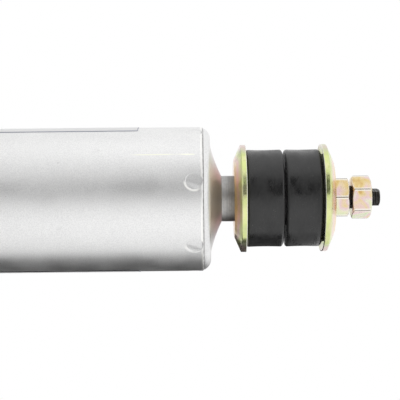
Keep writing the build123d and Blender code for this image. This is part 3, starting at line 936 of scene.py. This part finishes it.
@dataclass
class DamperBody:
    """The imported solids, which keep their shape and get their finishes."""

    finishes: Finishes
    painted_tube: tuple[str, ...] = ("reserve_tube", "base_cap", "eye_ring")
    welds: tuple[str, ...] = ("base_weld", "eye_weld")

    def finish_of(self, node: str, slot: str) -> bpy.types.Material:
        """Pick a node's finish.

        Args:
            node: The CAD node's name.
            slot: The record's material slot for it.

        Returns:
            The material.
        """
        special = {
            "dust_cover": self.finishes.cover,
            "cover_cap": self.finishes.cap,
            "thin_nut": self.finishes.nut,
            "lock_nut": self.finishes.nut,
        }
        special.update({name: self.finishes.tube for name in self.painted_tube})
        special.update({name: self.finishes.weld for name in self.welds})
        shared = {
            "yellow_zinc": self.finishes.washer,
            "rubber": self.finishes.rubber,
            "rod_steel": self.finishes.rod,
            "sintered_iron": self.finishes.sintered,
            "spring_steel": self.finishes.spring,
            "bronze": self.finishes.bronze,
            "slide_plastic": self.finishes.slide,
            "plain_steel": self.finishes.steel,
        }
        return special.get(node) or shared[slot]

    def dress(self) -> None:
        """Give every CAD node its finish."""
        slots = {part["node"]: part["material_slot"] for part in frame["record"]["subparts"]}
        for node, piece in sorted(frame["nodes"].items()):
            piece.data.materials.clear()
            piece.data.materials.append(self.finish_of(node, slots[node]))
            log.info("%s is %s", node, piece.data.materials[0].name)


def plain_mesh(name: str, holder: bpy.types.Object) -> bpy.types.Object:
    """Turn what a node tree makes into a plain mesh piece.

    Args:
        name: The new piece's name.
        holder: The object that carries the node tree.

    Returns:
        The new piece. The holder is removed.
    """
    made = holder.evaluated_get(bpy.context.evaluated_depsgraph_get())
    mesh = bpy.data.meshes.new_from_object(made)
    mesh.name = name
    piece = add_object(name, mesh)
    holder.modifiers.clear()
    bpy.data.objects.remove(holder)
    return piece


def put_in(
    piece: bpy.types.Object, body: Body, finish: bpy.types.Material | None = None
) -> None:
    """Let a piece ride on its body.

    Args:
        piece: The piece.
        body: The body that carries it.
        finish: Its material, where it has none yet.
    """
    if finish is not None:
        piece.data.materials.clear()
        piece.data.materials.append(finish)
    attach(piece, body.value)
    log.info("%s has %d faces", piece.name, len(piece.data.polygons))


class Rule(Wiring):
    """A geometry node tree with named inputs."""

    def __init__(self, name: str, sizes: dict[str, float]) -> None:
        """Start a tree with a geometry input, number inputs and a material input.

        Args:
            name: The tree's name.
            sizes: The number inputs and their values.
        """
        self.tree = bpy.data.node_groups.new(name, "GeometryNodeTree")
        self.sizes = sizes
        sockets = self.tree.interface
        sockets.new_socket("Geometry", in_out="INPUT", socket_type="NodeSocketGeometry")
        self.keys = {}
        for label, value in sizes.items():
            socket = sockets.new_socket(label, in_out="INPUT", socket_type="NodeSocketFloat")
            socket.default_value = value
            self.keys[label] = socket.identifier
        finish = sockets.new_socket("Finish", in_out="INPUT", socket_type="NodeSocketMaterial")
        self.keys["Finish"] = finish.identifier
        sockets.new_socket("Geometry", in_out="OUTPUT", socket_type="NodeSocketGeometry")
        self.start = self.tree.nodes.new("NodeGroupInput")
        self.end = self.tree.nodes.new("NodeGroupOutput")

    def add(
        self, kind: str, settings: dict[str, str] | None = None, **inputs: Setting
    ) -> bpy.types.Node:
        """Add a node.

        Args:
            kind: The node's type.
            settings: The node's own options, set before its inputs.
            **inputs: Sockets or values by input name, with spaces written as underscores.

        Returns:
            The node.
        """
        node = self.tree.nodes.new(kind)
        for option, choice in (settings or {}).items():
            setattr(node, option, choice)
        for label, value in inputs.items():
            self.feed(node.inputs[label.replace("_", " ")], value)
        return node

    def close(self, geometry: bpy.types.NodeSocket) -> None:
        """End the tree with real meshes that carry the finish.

        Args:
            geometry: What the tree has made.
        """
        real = self.add("GeometryNodeRealizeInstances", Geometry=geometry)
        finish = self.start.outputs["Finish"]
        dressed = self.add("GeometryNodeSetMaterial", Geometry=real.outputs[0], Material=finish)
        self.tree.links.new(dressed.outputs[0], self.end.inputs[0])

    def run(self, name: str, base: bpy.types.Mesh, finish: bpy.types.Material) -> bpy.types.Object:
        """Run the tree on a mesh.

        Args:
            name: The finished piece's name.
            base: The mesh it starts from.
            finish: The material it sets.

        Returns:
            The finished piece.
        """
        holder = add_object(name + "_rule", base)
        modifier = holder.modifiers.new("rule", "NODES")
        modifier.node_group = self.tree
        for label, value in self.sizes.items():
            modifier[self.keys[label]] = value
        modifier[self.keys["Finish"]] = finish
        return plain_mesh(name, holder)


def path_mesh(name: str, points: list[Vector], closed: bool) -> bpy.types.Mesh:
    """A mesh of one line of edges.

    Args:
        name: The mesh's name.
        points: The points of the line.
        closed: Whether the last point joins the first.

    Returns:
        The mesh.
    """
    mesh = bpy.data.meshes.new(name)
    edges = [(place, place + 1) for place in range(len(points) - 1)]
    if closed:
        edges.append((len(points) - 1, 0))
    mesh.from_pydata([tuple(point) for point in points], edges, [])
    return mesh


def lathe(name: str, profile: Section, steps: int) -> bpy.types.Mesh:
    """Turn a closed profile round the rod's axis.

    Args:
        name: The mesh's name.
        profile: Pairs of (radius, height) round the section.
        steps: How many steps make the full turn.

    Returns:
        The mesh, a closed ring with its faces outwards.
    """
    shape = bmesh.new()
    rings = []
    for place in range(steps):
        turn = 360 * place / steps
        spots = [around(turn, radius) + Vector((0, 0, height)) for radius, height in profile]
        rings.append([shape.verts.new(spot) for spot in spots])
    for ring, following in zip(rings, rings[1:] + rings[:1]):
        for place, corner in enumerate(ring):
            shape.faces.new((ring[place - 1], corner, following[place], following[place - 1]))
    return smooth_mesh_of(name, shape)


@dataclass
class MountRubber:
    """One rubber bush of the top mount, round where it leaves its cup and at its free end."""

    name: str
    node: str
    finish: bpy.types.Material
    nose: float
    lip: float
    joint: float
    socket_end: float
    socket_radius: float
    shoulder: float
    edge: float = 1.1 * MM
    bore: float = 5.3 * MM
    nose_radius: float = 16.3 * MM
    cup_slope: float = 0.446
    neck_inset: float = 0.3 * MM
    lip_gap: float = 0.12 * MM
    waist: float = 0.15 * MM
    arc_steps: int = 6
    side_steps: int = 12
    turn_steps: int = 160

    @property
    def way(self) -> int:
        """1 for a bush that stands on its nose, and -1 for one that hangs from it."""
        return 1 if self.joint > self.nose else -1

    def arc(self, radius: float, height: float, bend: float, start: float) -> Section:
        """A quarter round of the section.

        Args:
            radius: The round's centre, from the axis.
            height: The round's centre, above the nose.
            bend: The round's radius.
            start: Where it starts, in degrees.

        Returns:
            Its points.
        """
        steps = range(self.arc_steps + 1)
        turns = [math.radians(start + 90 * place / self.arc_steps) for place in steps]
        return [(radius + bend * math.cos(turn), height + bend * math.sin(turn)) for turn in turns]

    def section(self) -> Section:
        """The section, as pairs of (radius, distance from the nose)."""
        side = high_of(self.node).x
        lip, joint = abs(self.lip - self.nose), abs(self.joint - self.nose)
        neck = side - self.shoulder - self.neck_inset
        start = lip + self.lip_gap
        points = [
            (self.bore, 0.0),
            (self.nose_radius, 0.0),
            (neck, (neck - self.nose_radius) * self.cup_slope),
            (neck, start),
        ]
        points += self.arc(side - self.shoulder, start + self.shoulder, self.shoulder, -90)
        low, high = start + self.shoulder, joint - self.edge
        for place in range(1, self.side_steps):
            share = place / self.side_steps
            radius = side - self.waist * math.sin(math.pi * share)
            points.append((radius, low + share * (high - low)))
        points += self.arc(side - self.edge, joint - self.edge, self.edge, 0)
        socket = (self.socket_end - self.nose) * self.way
        points += [(self.socket_radius, height) for height in (joint, socket)]
        return points + [(self.bore, socket)]

    def build(self) -> None:
        """Turn the bush and let it stand for the plain one."""
        profile = [(radius, self.nose + self.way * away) for radius, away in self.section()]
        piece = add_object(self.name, lathe(self.name, profile, self.turn_steps))
        put_in(piece, Body.ROD, self.finish)
        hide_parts(self.node)


@dataclass
class TopMount:
    """The two rubber bushes between the cup washers."""

    finish: bpy.types.Material
    spigot_height: float = 5.0 * MM
    spigot_radius: float = 12.5 * MM
    spigot_gap: float = 0.3 * MM

    def build(self) -> None:
        """Make both bushes."""
        lower_nose, spigot_end = low_of("lower_mount_rubber").z, high_of("lower_mount_rubber").z
        upper_joint, upper_nose = low_of("upper_mount_rubber").z, high_of("upper_mount_rubber").z
        MountRubber(
            "lower_rubber_bush",
            "lower_mount_rubber",
            self.finish,
            nose=lower_nose,
            lip=high_of("lower_cup_washer").z,
            joint=spigot_end - self.spigot_height,
            socket_end=spigot_end,
            socket_radius=self.spigot_radius,
            shoulder=1.0 * MM,
        ).build()
        MountRubber(
            "upper_rubber_bush",
            "upper_mount_rubber",
            self.finish,
            nose=upper_nose,
            lip=low_of("upper_cup_washer").z,
            joint=upper_joint,
            socket_end=spigot_end,
            socket_radius=self.spigot_radius + self.spigot_gap,
            shoulder=1.8 * MM,
        ).build()


@dataclass
class StemThread:
    """The thread that shows between the two nuts, one helical ridge made by a rule."""

    finish: bpy.types.Material
    pitch: float = 1.25 * MM
    ridge: float = 0.34 * MM
    radius: float = 5.0 * MM
    overlap: float = 0.5 * MM
    steps_per_turn: int = 72
    low: float = field(init=False)
    high: float = field(init=False)

    def __post_init__(self) -> None:
        """Take the ends from the nuts."""
        self.low = high_of("thin_nut").z - self.overlap
        self.high = low_of("lock_nut").z + self.overlap

    def build(self) -> None:
        """Make the ridge and put it on the rod."""
        rise = self.high - self.low
        rule = Rule(
            "helical_ridge",
            {"Turns": rise / self.pitch, "Radius": self.radius, "Rise": rise, "Ridge": self.ridge},
        )
        sizes = rule.start.outputs
        spiral = rule.add(
            "GeometryNodeCurveSpiral",
            Rotations=sizes["Turns"],
            Start_Radius=sizes["Radius"],
            End_Radius=sizes["Radius"],
            Height=sizes["Rise"],
            Resolution=self.steps_per_turn,
        )
        section = rule.add("GeometryNodeCurvePrimitiveCircle", Radius=sizes["Ridge"], Resolution=6)
        ridge = rule.add(
            "GeometryNodeCurveToMesh",
            Curve=spiral.outputs[0],
            Profile_Curve=section.outputs[0],
            Fill_Caps=True,
        )
        start = (0, 0, self.low)
        placed = rule.add("GeometryNodeTransform", Geometry=ridge.outputs[0], Translation=start)
        rule.close(placed.outputs[0])
        point = path_mesh("thread_start", [Vector()], False)
        put_in(rule.run("stem_thread_ridge", point, self.finish), Body.ROD)


@dataclass
class WeldRipples:
    """Overlapping ripples of a weld run, laid along a line by a rule."""

    name: str
    points: list[Vector]
    closed: bool
    finish: bpy.types.Material
    outward: Vector | None = None
    spacing: float = 1.7 * MM
    along: float = 1.35 * MM
    across: float = 1.7 * MM
    proud: float = 0.9 * MM
    size_range: tuple[float, float] = (0.88, 1.08)
    seed: int = 7

    def facing(self, rule: Rule) -> Value | Vector:
        """The way the ripples stand out of the surface.

        Args:
            rule: The node tree that they are made by.

        Returns:
            The given direction, or a socket that points away from the rod.
        """
        if self.outward is not None:
            return self.outward
        spot = rule.add("GeometryNodeInputPosition")
        flat = rule.add("ShaderNodeVectorMath", {"operation": "MULTIPLY"})
        flat.inputs[1].default_value = (1, 1, 0)
        rule.tree.links.new(spot.outputs[0], flat.inputs[0])
        return flat.outputs[0]

    def build(self) -> None:
        """Make the ripples and put them on the tube."""
        ripple = {"Along": self.along, "Across": self.across, "Proud": self.proud}
        rule = Rule("ripples_along_a_line", {"Spacing": self.spacing, **ripple})
        sizes = rule.start.outputs
        curve = rule.add("GeometryNodeMeshToCurve", Mesh=rule.start.outputs["Geometry"])
        spaced = rule.add(
            "GeometryNodeResampleCurve",
            {"mode": "LENGTH"},
            Curve=curve.outputs[0],
            Length=sizes["Spacing"],
        )
        tangent = rule.add("GeometryNodeInputTangent")
        aligned = "FunctionNodeAlignRotationToVector"
        lean = rule.add(aligned, {"axis": "X"}, Vector=tangent.outputs[0])
        face = rule.add(
            aligned,
            {"axis": "Z", "pivot_axis": "X"},
            Rotation=lean.outputs[0],
            Vector=self.facing(rule),
        )
        vary = rule.add("FunctionNodeRandomValue", {"data_type": "FLOAT"}, Seed=self.seed)
        least, most = [socket for socket in vary.inputs if socket.type == "VALUE"][:2]
        least.default_value, most.default_value = self.size_range
        amount = [socket for socket in vary.outputs if socket.type == "VALUE"][0]
        shape = rule.tree.nodes.new("ShaderNodeCombineXYZ")
        for place, label in enumerate(ripple):
            rule.tree.links.new(rule.calc("MULTIPLY", sizes[label], amount), shape.inputs[place])
        blob = rule.add("GeometryNodeMeshIcoSphere", Radius=1.0, Subdivisions=3)
        smooth = rule.add("GeometryNodeSetShadeSmooth", Geometry=blob.outputs[0])
        laid = rule.add(
            "GeometryNodeInstanceOnPoints", Points=spaced.outputs[0], Instance=smooth.outputs[0]
        )
        rule.tree.links.new(face.outputs[0], laid.inputs["Rotation"])
        rule.tree.links.new(shape.outputs[0], laid.inputs["Scale"])
        rule.close(laid.outputs[0])
        line = path_mesh(self.name + "_line", self.points, self.closed)
        put_in(rule.run(self.name, line, self.finish), Body.TUBE)


@dataclass
class Welds:
    """The weld round the base seam and the two fillets under the base."""

    finish: bpy.types.Material
    ring_steps: int = 128
    ring_inset: float = 1.0 * MM
    fillet_inset: float = 1.0 * MM
    fillet_drop: float = 1.7 * MM
    end_margin: float = 1.3 * MM

    def ring_points(self) -> list[Vector]:
        """Points round the seam of the base, inside the bead's surface."""
        low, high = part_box("base_weld")
        radius = high.x - self.ring_inset
        middle = Vector((0, 0, (low.z + high.z) / 2))
        step = 360 / self.ring_steps
        return [middle + around(place * step, radius) for place in range(self.ring_steps)]

    def fillet_points(self, side: int) -> list[Vector]:
        """The line of one fillet under the base.

        Args:
            side: 1 for the fillet at +X and -1 for the one at -X.

        Returns:
            Its two ends.
        """
        low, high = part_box("eye_weld")
        x = side * (high.x - self.fillet_inset)
        z = high.z - self.fillet_drop
        return [Vector((x, low.y + self.end_margin, z)), Vector((x, high.y - self.end_margin, z))]

    def build(self) -> None:
        """Lay all three runs."""
        WeldRipples("base_weld_ripples", self.ring_points(), True, self.finish).build()
        for side, name in ((1, "right"), (-1, "left")):
            WeldRipples(
                f"eye_weld_ripples_{name}",
                self.fillet_points(side),
                False,
                self.finish,
                outward=Vector((side, 0, -0.8)),
                across=2.3 * MM,
                proud=1.0 * MM,
            ).build()


@dataclass
class LabelFilm:
    """Bare film wrapped round the back of the dust cover."""

    front_angle: float = 69.0
    back_angle: float = 284.2
    top_drop: float = 28.9 * MM
    length: float = 150.0 * MM
    lift: float = 0.02 * MM
    thickness: float = 0.15 * MM
    arc_steps: int = 120
    corner: float = 0.8 * MM
    corner_steps: int = 3

    def outline(self, radius: float) -> Section:
        """The film's outline with round corners.

        Args:
            radius: The radius it is bent to.

        Returns:
            Pairs of (degrees round the cover, height).
        """
        high = high_of("dust_cover").z - self.top_drop
        low = high - self.length
        corner_turn = math.degrees(self.corner / radius)
        corners = (
            (self.back_angle - corner_turn, high - self.corner, 0),
            (self.front_angle + corner_turn, high - self.corner, 90),
            (self.front_angle + corner_turn, low + self.corner, 180),
            (self.back_angle - corner_turn, low + self.corner, 270),
        )
        points = []
        for turn, height, start in corners:
            for place in range(self.corner_steps + 1):
                swing = math.radians(start + 90 * place / self.corner_steps)
                points.append(
                    (turn + corner_turn * math.cos(swing), height + self.corner * math.sin(swing))
                )
        return points

    def build(self) -> None:
        """Bend the film round the cover and put it on the rod's body."""
        radius = high_of("dust_cover").x
        shape = bmesh.new()
        rim = [shape.verts.new((turn, height, 0)) for turn, height in self.outline(radius)]
        shape.faces.new(rim)
        step = (self.back_angle - self.front_angle) / self.arc_steps
        for place in range(1, self.arc_steps):
            cut = self.front_angle + place * step
            everything = shape.verts[:] + shape.edges[:] + shape.faces[:]
            bmesh.ops.bisect_plane(shape, geom=everything, plane_co=(cut, 0, 0), plane_no=(1, 0, 0))
        inner = radius + self.lift
        outer = inner + self.thickness
        sheet = bmesh.ops.extrude_face_region(shape, geom=shape.faces[:])
        raised = {part for part in sheet["geom"] if isinstance(part, bmesh.types.BMVert)}
        for corner in shape.verts:
            spot = around(corner.co.x, outer if corner in raised else inner)
            corner.co = (spot.x, spot.y, corner.co.y)
        piece = add_object("cover_film", smooth_mesh_of("cover_film", shape))
        high = high_of("dust_cover").z - self.top_drop
        finish = BareFilm(
            "bare_film", high - self.length, high, self.front_angle, self.back_angle - 360.0
        ).build()
        put_in(piece, Body.ROD, finish)


@dataclass(frozen=True)
class Lamp:
    """A soft rectangular lamp, level with the photographed end.

    It stands at an angle in degrees and a distance in metres round the rod. Its glow is how bright
    its face is, where the white surroundings are 1.
    """

    name: str
    angle: float
    distance: float
    glow: float
    size: tuple[float, float] = (0.5, 0.9)


@dataclass(frozen=True)
class Card:
    """A card that only gloss sees.

    It stands at an angle in degrees and a distance in metres round the rod, and rises in metres
    above the photographed end. Its size is its width and its height along the rod, and its tone is
    a grey from 0 to 1.
    """

    name: str
    angle: float
    distance: float
    rise: float
    size: tuple[float, float]
    tone: float


@dataclass
class Studio:
    """White surroundings, a pale floor, soft lamps and dark cards that shape the gloss."""

    height: float
    floor_radius: float = 2.3
    floor_gap: float = 0.6 * MM
    floor_lift: float = 0.28
    floor_tones: tuple[Colour, Colour] = ((0.80, 0.80, 0.80), (0.84, 0.84, 0.84))
    floor_roughness: float = 0.7
    floor_cloud: float = 0.05
    floor_fade: float = 0.45
    card_cloud: float = 0.2
    bounced_white: float = 0.72
    lamps: tuple[Lamp, ...] = (
        Lamp("top_softbox", 82, distance=0.75, glow=0.15),
        Lamp("front_fill", -38, distance=0.80, glow=0.14),
    )
    cards: tuple[Card, ...] = (
        Card("grey_flag_by_tube", 14, distance=0.85, rise=-0.51, size=(0.42, 1.1), tone=0.42),
        Card("dark_flag_by_stem", 28, distance=0.84, rise=0.165, size=(0.66, 0.27), tone=0.02),
        Card("dark_table_below", -129, distance=0.1465, rise=-0.488, size=(0.243, 1.1), tone=0.0),
    )

    def spot(self, angle: float, distance: float, rise: float) -> Vector:
        """A place round the photographed end.

        Args:
            angle: Degrees from the front, growing towards -X.
            distance: Metres from the rod.
            rise: Metres above the photographed end.

        Returns:
            The place.
        """
        return around(angle, distance) + Vector((0, 0, self.height + rise))

    def facing(self, place: Vector) -> Matrix:
        """A turn and place whose -Z looks level at the rod's axis, with Y along the rod.

        Args:
            place: Where it stands.

        Returns:
            The matrix.
        """
        away = Vector((place.x, place.y, 0))
        return Matrix.Translation(place) @ (-away).to_track_quat("-Z", "Y").to_matrix().to_4x4()

    def add_lamp(self, plan: Lamp) -> None:
        """Hang a lamp.

        Args:
            plan: Its place, size and glow.
        """
        light = bpy.data.lights.new(plan.name, "AREA")
        light.shape = "RECTANGLE"
        light.size, light.size_y = plan.size
        light.energy = plan.glow * math.pi * plan.size[0] * plan.size[1]
        lamp = add_object(plan.name, light)
        lamp.matrix_world = self.facing(self.spot(plan.angle, plan.distance, 0.0))
        lamp.visible_camera = False

    def add_card(self, plan: Card) -> None:
        """Set up a card.

        Args:
            plan: Its place, size and tone.
        """
        half_wide, half_high = plan.size[0] / 2, plan.size[1] / 2
        signs = ((-1, -1), (1, -1), (1, 1), (-1, 1))
        corners = [(x * half_wide, y * half_high, 0) for x, y in signs]
        mesh = bpy.data.meshes.new(plan.name)
        mesh.from_pydata(corners, [], [(0, 1, 2, 3)])
        card = add_object(plan.name, mesh)
        card.matrix_world = self.facing(self.spot(plan.angle, plan.distance, plan.rise))
        shader = Shader(plan.name + "_face")
        cloud = shader.noise(self.card_cloud, 1.0)
        tone = shader.remap(cloud, 0.3, 0.7, plan.tone * 0.9, plan.tone * 1.1)
        mesh.materials.append(shader.finish(shader.mix(tone, (0, 0, 0), (1, 1, 1)), 1.0, 0.0))
        card.visible_camera = False
        card.visible_shadow = False
        card.visible_diffuse = False

    def floor(self) -> None:
        """Add the pale floor under the damper, fading out at its rim."""
        shape = bmesh.new()
        bmesh.ops.create_circle(shape, cap_ends=True, segments=96, radius=self.floor_radius)
        mesh = mesh_of("floor", shape)
        floor = add_object("floor", mesh)
        floor.location.z = cad_box[0].z - self.floor_gap
        shader = Shader("pale_floor")
        cloud = shader.noise(self.floor_cloud, 3.0)
        colour = shader.mix(shader.remap(cloud, 0.3, 0.7, 0, 1), *self.floor_tones)
        full = self.floor_radius * self.floor_fade
        fade = shader.remap(shader.radius(), full, self.floor_radius, 1, 0)
        shader.feed(shader.surface.inputs["Alpha"], fade)
        seen = shader.tree.nodes.new("ShaderNodeLightPath").outputs["Is Camera Ray"]
        shader.surface.inputs["Emission Color"].default_value = (1, 1, 1, 1)
        lift = shader.calc("MULTIPLY", seen, self.floor_lift)
        shader.feed(shader.surface.inputs["Emission Strength"], lift)
        mesh.materials.append(shader.finish(colour, self.floor_roughness, 0.0))

    def surroundings(self) -> None:
        """White for the camera and for gloss, and softer for bounced light."""
        world = bpy.data.worlds.new("white_room")
        world.use_nodes = True
        tree = world.node_tree
        tree.nodes.clear()
        path = tree.nodes.new("ShaderNodeLightPath")
        seen = tree.nodes.new("ShaderNodeMath")
        seen.operation = "MAXIMUM"
        tree.links.new(path.outputs["Is Camera Ray"], seen.inputs[0])
        tree.links.new(path.outputs["Is Glossy Ray"], seen.inputs[1])
        clear = tree.nodes.new("ShaderNodeMath")
        clear.operation = "MAXIMUM"
        tree.links.new(seen.outputs[0], clear.inputs[0])
        tree.links.new(path.outputs["Is Transmission Ray"], clear.inputs[1])
        strength = tree.nodes.new("ShaderNodeMapRange")
        tree.links.new(clear.outputs[0], strength.inputs[0])
        strength.inputs["To Min"].default_value = self.bounced_white
        strength.inputs["To Max"].default_value = 1.0
        backdrop = tree.nodes.new("ShaderNodeBackground")
        backdrop.inputs["Color"].default_value = (1, 1, 1, 1)
        tree.links.new(strength.outputs[0], backdrop.inputs["Strength"])
        output = tree.nodes.new("ShaderNodeOutputWorld")
        tree.links.new(backdrop.outputs[0], output.inputs["Surface"])
        bpy.context.scene.world = world

    def build(self) -> None:
        """Set up the whole studio."""
        self.surroundings()
        self.floor()
        for plan in self.lamps:
            self.add_lamp(plan)
        for plan in self.cards:
            self.add_card(plan)
        log.info("studio is set")


@dataclass
class PhotoCamera:
    """The camera of the photograph, turned a quarter so that the rod lies along the picture."""

    cover_top: float
    drop: float = 1.7 * MM
    distance: float = 0.5055
    sideways: float = 0.5 * MM
    sensor: float = 36.0
    lens: float = 100.35
    roll: float = 0.62

    def build(self) -> None:
        """Make the camera and use it."""
        lens = bpy.data.cameras.new("photo_camera")
        lens.sensor_width = self.sensor
        lens.lens = self.lens
        lens.clip_start = 0.05
        lens.clip_end = 20.0
        camera = add_object("photo_camera", lens)
        facing = Matrix(((0, -1, 0), (0, 0, -1), (1, 0, 0))).to_4x4()
        tilt = Matrix.Rotation(math.radians(-self.roll), 4, "Z")
        place = Matrix.Translation((self.sideways, -self.distance, self.cover_top - self.drop))
        camera.matrix_world = place @ facing @ tilt
        bpy.context.scene.camera = camera
        log.info("camera is set")


def main() -> None:
    """Dress the damper, and set the studio and the camera."""
    logging.basicConfig(level=logging.INFO, format="%(message)s")
    finishes = Finishes()
    DamperBody(finishes).dress()
    TopMount(finishes.rubber).build()
    StemThread(finishes.thread).build()
    Welds(finishes.weld).build()
    LabelFilm().build()
    cover_top = high_of("dust_cover").z
    Studio(cover_top).build()
    PhotoCamera(cover_top).build()
    bpy.context.scene.view_settings.view_transform = "Standard"


if __name__ == "__main__":
    main()
